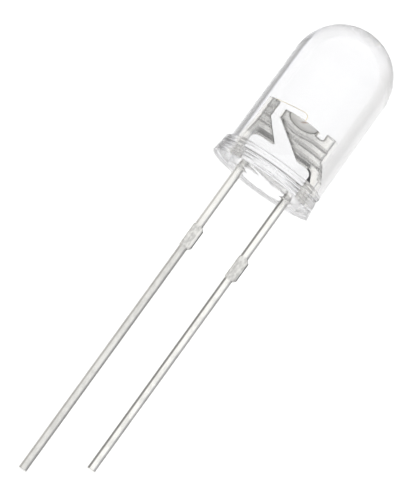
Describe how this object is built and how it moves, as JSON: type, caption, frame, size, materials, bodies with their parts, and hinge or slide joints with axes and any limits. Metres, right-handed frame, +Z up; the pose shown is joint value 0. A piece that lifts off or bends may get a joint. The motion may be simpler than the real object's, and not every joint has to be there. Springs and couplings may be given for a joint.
{
  "type": "through hole led",
  "caption": "Water-clear round LED with a domed lens, a flange with a polarity flat, a stamped frame with a reflector cup, and straight square leads of unequal length.",
  "frame": {"origin": "centre of the flange's underside, on the lens axis", "axes": "+Y along the lens axis towards the dome, +X towards the cathode lead and the flat, +Z up; the part lies on the rim of its flange with both leads level"},
  "size_m": [0.0054, 0.0257, 0.0056],
  "materials": {
    "clear_epoxy": "polished, water clear",
    "tinned_steel": "bright tin over steel",
    "led_die": "sawn crystal, polished top",
    "silver_epoxy": "satin, silver filled",
    "gold_wire": "bright gold"
  },
  "bodies": {
    "root": {"lens_body": "clear_epoxy", "anode_lead": "tinned_steel", "cathode_lead": "tinned_steel", "led_chip": "led_die", "die_attach": "silver_epoxy", "bond_wire": "gold_wire"}
  },
  "joints": []
}
